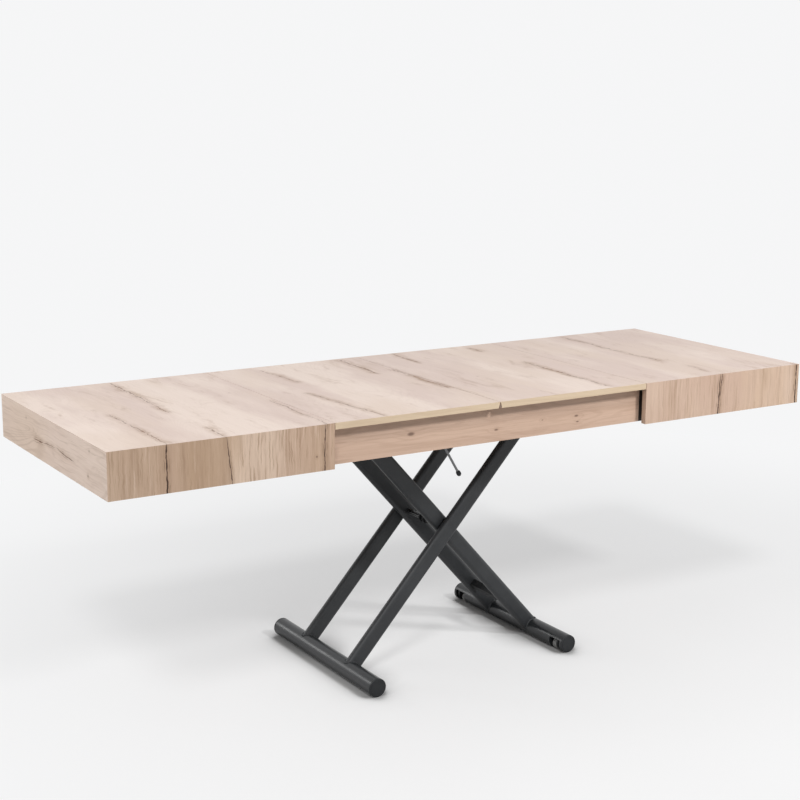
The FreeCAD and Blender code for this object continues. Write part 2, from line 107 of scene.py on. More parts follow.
def tint(tree, factor, first, second):
    node = tree.nodes.new("ShaderNodeMix")
    node.data_type = "RGBA"
    plug(tree, node.inputs[0], factor)
    for socket, colour in ((node.inputs[6], first), (node.inputs[7], second)):
        plug(tree, socket, colour if isinstance(colour, bpy.types.NodeSocket) else (*colour, 1.0))
    return node.outputs[2]


def bump(tree, shader, height, strength, relief):
    node = tree.nodes.new("ShaderNodeBump")
    node.inputs["Strength"].default_value = strength
    node.inputs["Distance"].default_value = relief
    plug(tree, node.inputs["Height"], height)
    tree.links.new(node.outputs[0], shader.inputs["Normal"])


def newMaterial(name):
    material = bpy.data.materials.new(name)
    material.use_nodes = True
    tree = material.node_tree
    return material, tree, tree.nodes["Principled BSDF"]


def placeOf(tree):
    # where a point lies in the table's own frame
    return tree.nodes.new("ShaderNodeTexCoord").outputs["Object"]


def splitPlace(tree, place):
    split = tree.nodes.new("ShaderNodeSeparateXYZ")
    tree.links.new(place, split.inputs[0])
    return list(split.outputs)


def joinPlaces(tree, *parts):
    joined = tree.nodes.new("ShaderNodeCombineXYZ")
    for socket, part in zip(joined.inputs, parts):
        tree.links.new(part, socket)
    return joined.outputs[0]


def distance(tree, a, b, midA, midB):
    # how far the point (a, b) lies from (midA, midB)
    offA = calc(tree, "SUBTRACT", a, midA)
    offB = calc(tree, "SUBTRACT", b, midB)
    return calc(tree, "SQRT", calc(tree, "MULTIPLY_ADD", offA, offA, calc(tree, "MULTIPLY", offB, offB)))


def ramp(tree, value, stops):
    # a number that follows the stops (where, how much) as the value goes from the first to the last
    first, last = stops[0][0], stops[-1][0]
    node = tree.nodes.new("ShaderNodeValToRGB")
    node.color_ramp.elements[0].position = 0.0
    node.color_ramp.elements[1].position = 1.0
    for stop in stops[1:-1]:
        node.color_ramp.elements.new((stop[0] - first) / (last - first))
    for element, stop in zip(node.color_ramp.elements, stops):
        element.color = (stop[1], stop[1], stop[1], 1.0)
    tree.links.new(remap(tree, value, first, last, smooth=False), node.inputs[0])
    return node.outputs[0]


def wear(material, *names):
    for name in names:
        for place in nodes[name].material_slots:
            place.material = material


# What the front and back folds of the oak sheet share, and what its two ends share
apronLook = {"paintedSheen": 0.0, "lines": 0.56, "smudges": 0.25, "arches": 0.10, "halo": 0.9, "short": 10.0,
             "fine": 1.0, "contrast": 1.0, "crack": 1.0, "breaks": 0.45, "wander": 0.0016, "kinks": 0.0013,
             "crackTone": "crackTone", "paleLineTone": "paleTone"}
# the ends are paled a little by painted light
endLook = {"paintedSheen": 0.21, "lines": 0.24, "smudges": 0.34, "arches": 0.26, "halo": 0.7, "short": 8.0,
           "fine": 0.8, "contrast": 1.0, "crack": 0.9, "breaks": 0.30, "wander": 0.0035, "kinks": 0.0010,
           "crackTone": "brownCrackTone", "paleLineTone": "paleTone"}

# Oak laminate. The sheet is one flat print folded over the front, back and ends: across counts along the
# table and on down the ends, along counts over the width and on down the fronts. Sizes in metres.
oak = {
    "roseTone": (0.590, 0.415, 0.320),
    "paleTone": (0.760, 0.595, 0.475),
    "ochreTone": (0.640, 0.465, 0.325),
    "deepTone": (0.430, 0.287, 0.182),
    "lineTone": (0.300, 0.190, 0.115),
    "haloTone": (0.360, 0.235, 0.155),
    "crackTone": (0.058, 0.032, 0.022),
    "brownCrackTone": (0.105, 0.048, 0.028),
    # a pale tone that the top and the ends are pulled towards as painted sheen and light; the top's pale
    # lines take it too
    "paleLineAndSheenTone": (0.850, 0.802, 0.806),
    "roughness": 0.50,
    "shine": 0.35,
    "bump": 0.25,
    "relief": 0.0006,
    # what open pores, fibres and cracks add to the roughness and to the height
    "rougher": {"pores": 0.12, "fibre": 0.10, "cracks": 0.30},
    "higher": {"pores": -0.35, "cracks": -2.5},
    # from here to there along the table the lines grow faint, down to this share
    "faintRight": (-0.50, 0.50),
    "faintShare": 0.5,
    "drift": 0.30,  # how far a stave's tone drifts
    "warmth": 0.70,  # how strong the warm patches are
    "archTurn": 230.0,  # how far the arches' wave turns over the slow noise's whole range, in radians
    "archSlant": 90.0,  # and over a metre across
    "lineTurns": 270.0,  # lines side by side in a metre
    "paleShare": 0.7,  # pale lines against dark ones
    "patchLeast": 0.25,  # what is left of the lines between their patches
    "fibreTint": 0.12,
    "poreTint": 0.16,
    "raggedMost": 1.15,  # a crack's width where it is widest, against its own
    "haloLeast": 0.10,  # a halo's strength where it is palest
    # noise patterns, with their turns in a metre across, along and through the sheet
    "patterns": {
        "wander": {"turns": (3.0, 8.0, 3.0), "detail": 2.0},
        "kinks": {"turns": (26.0, 52.0, 26.0), "detail": 2.0},
        "drift": {"turns": (9.0, 2.4, 9.0), "detail": 4.0},
        "warmth": {"turns": (7.0, 2.0, 7.0), "detail": 2.0},
        "arches": {"turns": (7.5, 1.5, 7.5), "detail": 1.5, "distortion": 0.5},
        "figured": {"turns": (4.2, 1.6, 4.2), "detail": 1.0},
        "lines": {"detail": 2.5, "roughness": 0.60},
        "bands": {"turns": (60.0, 3.5, 60.0), "detail": 3.0, "roughness": 0.6},
        "patches": {"turns": (9.0, 6.0, 9.0), "detail": 2.0},
        "blots": {"turns": (24.0, 6.0, 24.0), "detail": 4.0, "roughness": 0.65, "distortion": 0.8},
        "fibre": {"turns": (430.0, 9.0, 430.0), "detail": 3.0},
        "pores": {"turns": (620.0, 30.0, 620.0), "detail": 2.0},
        "ragged": {"turns": (40.0, 70.0, 40.0), "detail": 3.0},
        "broken": {"turns": (60.0, 26.0, 60.0), "detail": 2.0},
    },
    # where in a pattern's range its effect starts, and where it is whole
    "ranges": {
        "wander": (0.25, 0.75), "kinks": (0.25, 0.75), "drift": (0.25, 0.75), "warmth": (0.45, 0.70),
        "arches": (0.30, 1.0), "figured": (0.45, 0.62), "bands": (0.48, 0.75), "patches": (0.36, 0.62),
        "darkLines": (0.555, 0.630), "paleLines": (0.43, 0.33), "blots": (0.54, 0.80), "stains": (0.35, 0.65),
        "fibre": (0.30, 0.70), "pores": (0.60, 0.74), "ragged": (0.32, 0.66), "broken": (0.48, 0.62),
    },
    # (where across, tone from rosy 0 to pale 1), in order along the table
    "staves": (
        (-1.157, 0.80), (-1.046, 0.74), (-0.950, 0.56), (-0.908, 0.46), (-0.904, 0.33), (-0.800, 0.40),
        (-0.763, 0.36), (-0.757, 0.62), (-0.725, 0.92), (-0.650, 0.90), (-0.600, 0.48), (-0.503, 0.44),
        (-0.498, 0.32), (-0.370, 0.38), (-0.340, 0.36), (-0.285, 0.78), (-0.215, 0.80), (-0.150, 0.46),
        (-0.075, 0.28), (0.000, 0.22), (0.050, 0.36), (0.113, 0.26), (0.205, 0.33), (0.250, 0.62),
        (0.360, 0.46), (0.374, 0.16), (0.500, 0.30), (0.660, 0.40), (0.735, 0.20), (0.930, 0.56),
        (1.020, 0.36), (1.157, 0.30),
    ),
    # (across, slope, from along, to along, half width, depth)
    "cracks": (
        (-0.9080, 0.012, -0.620, -0.330, 0.0024, 1.0),
        (-0.9040, 0.006, -0.390, 0.015, 0.0026, 0.85),
        (-0.7360, -0.110, -0.560, -0.345, 0.0016, 0.90),
        (-0.7600, 0.010, -0.385, -0.225, 0.0032, 0.85),
        (-0.7680, 0.030, -0.085, 0.385, 0.0030, 0.90),
        (-0.5090, 0.030, -0.620, -0.335, 0.0020, 0.95),
        (-0.4980, 0.030, -0.390, -0.030, 0.0026, 0.80),
        (-0.3260, -0.125, -0.380, 0.010, 0.0028, 0.85),
        (-0.3180, -0.050, 0.085, 0.340, 0.0032, 0.85),
        (-0.0740, 0.030, 0.090, 0.375, 0.0034, 0.95),
        (-0.0130, 0.010, -0.175, 0.175, 0.0032, 0.95),
        (0.1130, 0.012, 0.170, 0.400, 0.0030, 0.85),
        (0.3730, 0.010, 0.235, 0.345, 0.0038, 0.90),
        (0.3640, 0.040, -0.365, 0.085, 0.0032, 0.95),
        (0.7290, 0.010, -0.160, 0.385, 0.0032, 0.95),
        (0.7330, 0.120, -0.345, -0.195, 0.0030, 0.85),
        (0.7370, 0.020, -0.580, -0.345, 0.0026, 1.00),
        (0.7440, 0.060, -0.440, -0.345, 0.0022, 1.00),
        (1.0330, 0.010, -0.620, -0.320, 0.0026, 1.00),
        (-1.1140, 0.098, -0.178, -0.020, 0.0018, 0.85),
        (-1.1015, -0.083, -0.052, 0.064, 0.0016, 0.75),
        (-1.1080, -0.045, 0.036, 0.132, 0.0022, 0.90),
    ),
    # a crack tapers off over this length, or over this part of its own if that is less. Its core, the
    # hairlines beside it and its halo are multiples of its half width.
    "crackShape": {"taper": 0.05, "taperPart": 3, "core": 0.4, "edge": 0.0003, "hairGap": 2.6,
                   "hairWidth": 0.6, "hairDepth": 0.6, "halo": 8},
    # (across, along, radius) of small dark eyes, with core and halo as multiples of the radius
    "specks": (
        (-1.071, 0.172, 0.0035), (-1.065, -0.257, 0.0035), (-1.125, -0.245, 0.0045), (-0.526, -0.437, 0.0035),
        (-0.541, 0.080, 0.0030), (0.141, -0.054, 0.0030),
    ),
    "speckShape": {"core": 0.2, "halo": 3, "depth": 0.60},
    # for each face: how much it is paled by painted sheen and light, how strong its lines, smudges, arches
    # and halos are, how many lines follow on each other in a metre, how strong its fibres and pores are, how
    # strongly its staves differ, how dark its cracks are and how thin they get, how far the grain wanders and
    # kinks, which tones its cracks and pale lines have, and how much darker it grows along the table
    "folds": {
        # the top is paled most of all, as painted sheen
        "top": {"paintedSheen": 0.355, "lines": 0.06, "smudges": 0.46, "arches": 0.05, "halo": 0.75, "short": 7.0,
                "fine": 0.40, "contrast": 2.4, "crack": 0.64, "breaks": 0.05, "wander": 0.0070,
                "kinks": 0.0034, "crackTone": "brownCrackTone", "paleLineTone": "paleLineAndSheenTone",
                "deep": ((-1.2, 0.0), (1.2, 0.0))},
        "front": {**apronLook, "deep": (
            (-1.2, 0.55), (-0.91, 0.60), (-0.90, 0.45), (-0.84, 0.85), (-0.76, 0.65), (-0.74, 0.20),
            (-0.62, 0.25), (-0.53, 0.52), (-0.47, 0.42), (0.60, 0.06), (0.74, 0.02), (1.2, 0.0))},
        "back": {**apronLook, "deep": (
            (-1.2, 0.20), (-0.75, 0.10), (-0.50, 0.30), (0.60, 0.20), (0.85, 0.45), (1.2, 0.35))},
        "leftEnd": {**endLook, "deep": ((-1.2, 0.0), (1.2, 0.0))},
        "rightEnd": {**endLook, "deep": ((-1.2, 0.08), (1.2, 0.08))},
    },
}


def sheetPlaces(tree, fold):
    # across, along and depth on the folded sheet, from the point's own x, y and z
    x, y, z = splitPlace(tree, placeOf(tree))
    low, high = cadBox
    if fold == "top":
        return x, y, z
    if fold == "front":
        return x, calc(tree, "ADD", z, low[1] - high[2]), y
    if fold == "back":
        return x, calc(tree, "SUBTRACT", high[1] + high[2], z), y
    if fold == "leftEnd":
        return calc(tree, "ADD", z, low[0] - high[2]), y, x
    return calc(tree, "SUBTRACT", high[0] + high[2], z), y, x


def oakNoise(tree, place, part):
    return noise(tree, place, **oak["patterns"][part])


def oakRange(tree, value, part, toLow=0.0, toHigh=1.0, smooth=True):
    # goes from toLow to toHigh as the value goes through the part's range
    return remap(tree, value, *oak["ranges"][part], toLow, toHigh, smooth)


def oakPart(tree, place, part, toLow=0.0, toHigh=1.0, smooth=True):
    return oakRange(tree, oakNoise(tree, place, part), part, toLow, toHigh, smooth)


def crackMask(tree, course, along, ragged, broken, crack):
    # a ragged line along the grain that tapers off, with broken hairlines beside it: how deep, and how near
    shape = oak["crackShape"]
    where, slope, start, stop, half, depth = crack
    line = calc(tree, "MULTIPLY_ADD", calc(tree, "SUBTRACT", along, start), slope, where)
    gap = calc(tree, "ABSOLUTE", calc(tree, "SUBTRACT", course, line))
    taper = min(shape["taper"], (stop - start) / shape["taperPart"])
    rise = remap(tree, along, start, start + taper)
    fall = remap(tree, along, stop - taper, stop, 1.0, 0.0)
    inside = calc(tree, "MULTIPLY", rise, fall)
    width = calc(tree, "MULTIPLY", calc(tree, "MULTIPLY", inside, ragged), half)
    core = calc(tree, "MULTIPLY", width, shape["core"])
    edge = calc(tree, "ADD", width, shape["edge"])
    deep = remap(tree, gap, core, edge, depth, 0.0)
    aside = calc(tree, "ABSOLUTE", calc(tree, "SUBTRACT", gap, half * shape["hairGap"]))
    hairs = remap(tree, aside, 0.0, half * shape["hairWidth"], depth * shape["hairDepth"], 0.0)
    deep = calc(tree, "MAXIMUM", deep, calc(tree, "MULTIPLY", hairs, broken))
    near = remap(tree, gap, 0.0, half * shape["halo"], depth, 0.0)
    return calc(tree, "MULTIPLY", deep, inside), calc(tree, "MULTIPLY", near, inside)


def cracksAndSpecks(tree, look, reach, across, course, along, sheet):
    # the deepest and the nearest of all cracks and small eyes on this stretch of the sheet
    ragged = oakPart(tree, sheet, "ragged", look["breaks"], oak["raggedMost"])
    broken = oakPart(tree, sheet, "broken")
    masks = []
    for crack in oak["cracks"]:
        start, stop = crack[2:4]
        if stop > reach[0] and start < reach[1]:
            masks.append(crackMask(tree, course, along, ragged, broken, crack))
    shape = oak["speckShape"]
    for spotAcross, spotAlong, radius in oak["specks"]:
        if reach[0] < spotAlong < reach[1]:
            far = distance(tree, across, along, spotAcross, spotAlong)
            deep = remap(tree, far, radius * shape["core"], radius, shape["depth"], 0.0)
            near = remap(tree, far, 0.0, radius * shape["halo"], shape["depth"], 0.0)
            masks.append((deep, near))
    deepest, nearest = 0.0, 0.0
    for deep, near in masks:
        deepest = calc(tree, "MAXIMUM", deepest, deep)
        nearest = calc(tree, "MAXIMUM", nearest, near)
    return deepest, nearest


def oakMaterial(name, fold, reach):
    # reach: the stretch of the sheet, along the grain, that this fold shows
    look = oak["folds"][fold]
    material, tree, shader = newMaterial(name)
    across, along, depth = sheetPlaces(tree, fold)
    sheet = joinPlaces(tree, across, along, depth)

    # the grain wanders slowly from its straight course, with small kinks
    course = across
    for part in ("wander", "kinks"):
        sway = oakPart(tree, sheet, part, -1.0, 1.0, smooth=False)
        course = calc(tree, "MULTIPLY_ADD", sway, look[part], course)
    grain = joinPlaces(tree, course, along, depth)

    # stave tones across the sheet, with a slow drift along each stave
    drift = oakPart(tree, sheet, "drift", -oak["drift"], oak["drift"])
    tone = calc(tree, "ADD", ramp(tree, course, oak["staves"]), drift)
    tone = remap(tree, tone, 0.5 - 0.5 / look["contrast"], 0.5 + 0.5 / look["contrast"], smooth=False)
    colour = tint(tree, tone, oak["roseTone"], oak["paleTone"])
    colour = tint(tree, oakPart(tree, sheet, "warmth", 0.0, oak["warmth"]), colour, oak["ochreTone"])
    colour = tint(tree, ramp(tree, course, look["deep"]), colour, oak["deepTone"])
    # painted sheen and light: each face is pulled towards a pale tone by its own share, so the top and the
    # ends come out paler than the fronts
    colour = tint(tree, look["paintedSheen"], colour, oak["paleLineAndSheenTone"])

    # arches: contours of a slow noise, so that they run with the grain and close
    slanted = calc(tree, "MULTIPLY", course, oak["archSlant"])
    slow = oakNoise(tree, sheet, "arches")
    contour = calc(tree, "SINE", calc(tree, "MULTIPLY_ADD", slow, oak["archTurn"], slanted))
    figured = oakPart(tree, sheet, "figured", 0.0, look["arches"])
    arches = calc(tree, "MULTIPLY", oakRange(tree, contour, "arches"), figured)
    colour = tint(tree, arches, colour, oak["lineTone"])

    # dark and pale lines that come and go in patches, then soft smudges, fibres and open pores
    lineTurns = (oak["lineTurns"], look["short"], oak["lineTurns"])
    lines = noise(tree, grain, lineTurns, **oak["patterns"]["lines"])
    faint = remap(tree, across, *oak["faintRight"], 1.0, oak["faintShare"])
    patches = calc(tree, "MULTIPLY", oakPart(tree, sheet, "patches", oak["patchLeast"], 1.0), faint)
    dark = oakRange(tree, lines, "darkLines", 0.0, look["lines"])
    pale = oakRange(tree, lines, "paleLines", 0.0, look["lines"] * oak["paleShare"])
    blots = oakNoise(tree, grain, "blots")
    fibre = oakNoise(tree, grain, "fibre")
    pores = oakPart(tree, grain, "pores")
    fibreTint = oakRange(tree, fibre, "fibre", 0.0, oak["fibreTint"] * look["fine"])
    poreTint = calc(tree, "MULTIPLY", pores, oak["poreTint"] * look["fine"])
    colour = tint(tree, oakPart(tree, grain, "bands", 0.0, look["lines"]), colour, oak["haloTone"])
    colour = tint(tree, calc(tree, "MULTIPLY", dark, patches), colour, oak["lineTone"])
    colour = tint(tree, calc(tree, "MULTIPLY", pale, patches), colour, oak[look["paleLineTone"]])
    colour = tint(tree, oakRange(tree, blots, "blots", 0.0, look["smudges"]), colour, oak["haloTone"])
    colour = tint(tree, fibreTint, colour, oak["haloTone"])
    colour = tint(tree, poreTint, colour, oak["haloTone"])

    # cracks and small eyes, each with a brown halo
    deepest, nearest = cracksAndSpecks(tree, look, reach, across, course, along, sheet)
    halo = oakRange(tree, blots, "stains", oak["haloLeast"], look["halo"])
    colour = tint(tree, calc(tree, "MULTIPLY", nearest, halo), colour, oak["haloTone"])
    colour = tint(tree, calc(tree, "MULTIPLY", deepest, look["crack"]), colour, oak[look["crackTone"]])
    tree.links.new(colour, shader.inputs["Base Color"])

    rough = oak["roughness"]
    for part, value in (("pores", pores), ("fibre", fibre), ("cracks", deepest)):
        rough = calc(tree, "MULTIPLY_ADD", value, oak["rougher"][part], rough)
    tree.links.new(rough, shader.inputs["Roughness"])
    shader.inputs["Specular IOR Level"].default_value = oak["shine"]
    height = fibre
    for part, value in (("pores", pores), ("cracks", deepest)):
        height = calc(tree, "MULTIPLY_ADD", value, oak["higher"][part], height)
    bump(tree, shader, height, oak["bump"], oak["relief"])
    return material


halfWidth = cadBox[1][1]
apronDrop = 0.12  # a little more than the aprons' height
overWidth = (-halfWidth, halfWidth)
oakTop = oakMaterial("oakTop", "top", overWidth)
oakFront = oakMaterial("oakFront", "front", (-halfWidth - apronDrop, -halfWidth))
oakBack = oakMaterial("oakBack", "back", (halfWidth, halfWidth + apronDrop))
oakLeftEnd = oakMaterial("oakLeftEnd", "leftEnd", overWidth)
oakRightEnd = oakMaterial("oakRightEnd", "rightEnd", overWidth)
for side in ("left", "right"):
    wear(oakTop, side + "_top", side + "_leaf_board")
    wear(oakFront, side + "_front_apron")
    wear(oakBack, side + "_back_apron")
wear(oakLeftEnd, "left_end_panel")
wear(oakRightEnd, "right_end_panel")
print("oak laminate done")


# Solid-looking wood with its grain along its length: rails with small knots, plain edge bands, bare board
# inside
lengthwise = {
    "rail": {
        "tone": (0.640, 0.455, 0.345),
        "dark": (0.420, 0.272, 0.192),
        "heart": (0.135, 0.075, 0.048),
        "streaks": 0.40,
        # (along the table, height, radius)
        "knots": (
            (-0.246, 0.700, 0.0080), (0.010, 0.681, 0.0045), (0.156, 0.690, 0.0022), (0.267, 0.689, 0.0050),
            (0.271, 0.673, 0.0035),
        ),
        # past this far from the middle the rail is painted near-black, as painted shade of the dark gaps at
        # its ends
        "paintedShadeFrom": 0.4795,
        "paintedShadeTone": (0.020, 0.014, 0.011),
        "roughness": 0.50,
    },
    "band": {
        "tone": (0.690, 0.545, 0.385),
        "dark": (0.520, 0.385, 0.255),
        "streaks": 0.30,
        "knots": (),
        "roughness": 0.48,
    },
    "bare": {
        "tone": (0.600, 0.470, 0.320),
        "dark": (0.420, 0.300, 0.190),
        "streaks": 0.45,
        "knots": (),
        "roughness": 0.68,
    },
}

# The grain that they share
lengthGrain = {
    # noise patterns, with their turns in a metre across the grain and along it
    "patterns": {
        "streaks": {"turns": (55.0, 1.4), "detail": 4.0, "roughness": 0.6},
        "fibre": {"turns": (520.0, 6.0), "detail": 3.0},
        "pores": {"turns": (700.0, 24.0), "detail": 2.0},
        "rings": {"turns": (6.0, 0.8), "detail": 3.0},
        "flecks": {"turns": (210.0, 13.0), "detail": 3.0, "roughness": 0.6},
    },
    # where in a pattern's range its effect starts, and where it is whole
    "ranges": {"streaks": (0.38, 0.78), "fibre": (0.3, 0.7), "pores": (0.60, 0.75), "rings": (0.2, 1.0),
               "flecks": (0.54, 0.74)},
    "ringTurn": 120.0,  # how far the rings' wave turns over their noise's whole range, in radians
    "ringTint": 0.22,
    "fibreTint": 0.22,
    "poreTint": 0.30,
    "heartTint": 0.80,
    # along the grain a knot's distances count this much, and it bends the grain as far as this multiple of
    # its radius. Its heart fades out between the next two.
    "knotSqueeze": 0.45,
    "knotReach": 3.5,
    "heartFrom": 0.25,
    "heartTo": 0.8,
    "streakLift": 0.16,
    "ringLift": 0.05,
    "fibreRough": 0.12,
    "poreDepth": -0.4,
    "bump": 0.22,
    "relief": 0.0006,
}


def lengthwiseMaterial(name, look, grainAxis=0):
    material, tree, shader = newMaterial(name)
    here = placeOf(tree)
    x, z = splitPlace(tree, here)[::2]

    def grainNoise(part):
        # many turns in the two directions across the grain, few in the one along it
        pattern = dict(lengthGrain["patterns"][part])
        across, along = pattern.pop("turns")
        return noise(tree, here, [along if axis == grainAxis else across for axis in range(3)], **pattern)

    def grainRange(value, part, most=1.0):
        return remap(tree, value, *lengthGrain["ranges"][part], 0.0, most)

    # the grain bends round each knot: its distance from the knots lifts the lines
    lift, heart = 0.0, 0.0
    squeeze = lengthGrain["knotSqueeze"]
    for knotX, knotZ, radius in look["knots"]:
        far = distance(tree, calc(tree, "MULTIPLY", x, squeeze), z, knotX * squeeze, knotZ)
        bend = remap(tree, far, 0.0, radius * lengthGrain["knotReach"], 1.0, 0.0)
        core = remap(tree, far, radius * lengthGrain["heartFrom"], radius * lengthGrain["heartTo"], 1.0, 0.0)
        lift = calc(tree, "MAXIMUM", lift, bend)
        heart = calc(tree, "MAXIMUM", heart, core)
    streaks = calc(tree, "MULTIPLY_ADD", lift, lengthGrain["streakLift"], grainNoise("streaks"))
    bent = calc(tree, "MULTIPLY_ADD", lift, lengthGrain["ringLift"], grainNoise("rings"))
    contour = calc(tree, "SINE", calc(tree, "MULTIPLY", bent, lengthGrain["ringTurn"]))
    fibre = grainNoise("fibre")
    pores = grainRange(grainNoise("pores"), "pores")
    colour = tint(tree, grainRange(streaks, "streaks", look["streaks"]), look["tone"], look["dark"])
    for amount in (grainRange(contour, "rings", lengthGrain["ringTint"]),
                   grainRange(grainNoise("flecks"), "flecks", look["streaks"]),
                   grainRange(fibre, "fibre", lengthGrain["fibreTint"]),
                   calc(tree, "MULTIPLY", pores, lengthGrain["poreTint"])):
        colour = tint(tree, amount, colour, look["dark"])
    if look["knots"]:
        colour = tint(tree, calc(tree, "MULTIPLY", heart, lengthGrain["heartTint"]), colour, look["heart"])
    # painted shade: past this far from the middle the rail goes near-black, standing in for the dark gap
    # beside the end sections
    if "paintedShadeFrom" in look:
        inPaintedShade = calc(tree, "GREATER_THAN", calc(tree, "ABSOLUTE", x), look["paintedShadeFrom"])
        colour = tint(tree, inPaintedShade, colour, look["paintedShadeTone"])
    tree.links.new(colour, shader.inputs["Base Color"])
    rough = calc(tree, "MULTIPLY_ADD", fibre, lengthGrain["fibreRough"], look["roughness"])
    tree.links.new(rough, shader.inputs["Roughness"])
    height = calc(tree, "MULTIPLY_ADD", pores, lengthGrain["poreDepth"], fibre)
    bump(tree, shader, height, lengthGrain["bump"], lengthGrain["relief"])
    return material


railOak = lengthwiseMaterial("railOak", lengthwise["rail"])
edgeBand = lengthwiseMaterial("edgeBand", lengthwise["band"])
bareBoard = lengthwiseMaterial("bareBoard", lengthwise["bare"])
bareCross = lengthwiseMaterial("bareCross", lengthwise["bare"], grainAxis=1)
wear(railOak, "chassis_rail_front", "chassis_rail_back")
wear(bareBoard, "chassis_bearers")
wear(bareCross, "chassis_cross_rails", "centre_batten")
for side in ("left", "right"):
    wear(edgeBand, side + "_leaf_edge_bands")
    wear(bareBoard, side + "_carriers")
print("rails, bands and bare boards done")


# Coated, plated and moulded finishes: a base tone that varies a little, with fine bump and uneven roughness
finishes = {
    "blackCoat": {"tone": (0.0205, 0.022, 0.024), "light": (0.032, 0.034, 0.0365), "metallic": 0.0,
                  "shine": 0.40, "roughness": 0.44, "spread": 0.10, "grain": 900.0, "bump": 0.10},
    # the foot bars' coat: the legs' black powder coat made darker, as painted shade, and glossier
    "paintedShadeBarCoat": {"tone": (0.0105, 0.0118, 0.0132), "light": (0.0160, 0.0178, 0.0195), "metallic": 0.0,
                "shine": 0.48, "roughness": 0.33, "spread": 0.08, "grain": 900.0, "bump": 0.10},
    # a duller black, darker than the frame's coat: partly the parts' own finish, partly painted shade of the
    # dim gap between the inner legs
    "dullBlackAndShade": {"tone": (0.0115, 0.0120, 0.0127), "light": (0.0165, 0.0172, 0.0180), "metallic": 0.0,
                  "shine": 0.20, "roughness": 0.60, "spread": 0.10, "grain": 900.0, "bump": 0.12},
    "zincPlate": {"tone": (0.56, 0.57, 0.58), "light": (0.70, 0.70, 0.69), "metallic": 1.0,
                  "shine": 0.5, "roughness": 0.30, "spread": 0.16, "grain": 300.0, "bump": 0.04},
    "nitridedRod": {"tone": (0.016, 0.0165, 0.018), "light": (0.026, 0.0265, 0.029), "metallic": 0.0,
                    "shine": 0.45, "roughness": 0.28, "spread": 0.06, "grain": 250.0, "bump": 0.02},
    "springEnamel": {"tone": (0.020, 0.020, 0.022), "light": (0.030, 0.030, 0.032), "metallic": 0.0,
                     "shine": 0.4, "roughness": 0.25, "spread": 0.08, "grain": 500.0, "bump": 0.04},
    "mouldedBlack": {"tone": (0.012, 0.013, 0.0145), "light": (0.020, 0.0215, 0.0235), "metallic": 0.0,
                     "shine": 0.30, "roughness": 0.50, "spread": 0.12, "grain": 1400.0, "bump": 0.14},
    "treadGrey": {"tone": (0.190, 0.190, 0.186), "light": (0.260, 0.260, 0.254), "metallic": 0.0,
                  "shine": 0.3, "roughness": 0.62, "spread": 0.16, "grain": 800.0, "bump": 0.20},
    "whiteNylon": {"tone": (0.74, 0.74, 0.71), "light": (0.82, 0.82, 0.79), "metallic": 0.0,
                   "shine": 0.5, "roughness": 0.45, "spread": 0.10, "grain": 600.0, "bump": 0.06},
    "hingeBrass": {"tone": (0.66, 0.48, 0.21), "light": (0.78, 0.61, 0.32), "metallic": 1.0,
                   "shine": 0.5, "roughness": 0.32, "spread": 0.14, "grain": 400.0, "bump": 0.05},
    "leverSteel": {"tone": (0.16, 0.16, 0.165), "light": (0.26, 0.26, 0.265), "metallic": 0.6,
                   "shine": 0.5, "roughness": 0.34, "spread": 0.12, "grain": 700.0, "bump": 0.06},
}

# What they share: turns of the cloudy noise in a metre, how much grain and cloud tell in the tone, and the
# bump's depth
finishGrain = {
    "cloud": {"turns": (14.0, 14.0, 14.0), "detail": 4.0, "roughness": 0.6},
    "grainDetail": 2.0,
    "grainShare": 0.4,
    "cloudShare": 0.6,
    "toneRange": (0.35, 0.65),
    "relief": 0.0004,
}


def finishMaterial(name):
    look = finishes[name]
    material, tree, shader = newMaterial(name)
    here = placeOf(tree)
    grain = noise(tree, here, (look["grain"],) * 3, finishGrain["grainDetail"])
    cloud = noise(tree, here, **finishGrain["cloud"])
    cloudPart = calc(tree, "MULTIPLY", cloud, finishGrain["cloudShare"])
    mixed = calc(tree, "MULTIPLY_ADD", grain, finishGrain["grainShare"], cloudPart)
    colour = tint(tree, remap(tree, mixed, *finishGrain["toneRange"]), look["tone"], look["light"])
    tree.links.new(colour, shader.inputs["Base Color"])
    uneven = calc(tree, "SUBTRACT", cloud, 0.5)
    rough = calc(tree, "MULTIPLY_ADD", uneven, look["spread"] * 2, look["roughness"])
    tree.links.new(rough, shader.inputs["Roughness"])
    shader.inputs["Metallic"].default_value = look["metallic"]
    shader.inputs["Specular IOR Level"].default_value = look["shine"]
    bump(tree, shader, grain, look["bump"], finishGrain["relief"])
    return material


finish = {name: finishMaterial(name) for name in finishes}
# the foot bars wear the darker copy of the black coat; its extra darkness is painted shade
wear(finish["paintedShadeBarCoat"], "fixed_foot_bar", "rolling_foot_bar")
wear(finish["blackCoat"], "outer_leg_front", "outer_leg_back", "inner_leg_front", "inner_leg_back",
     "pivot_brackets", "lever_bracket")
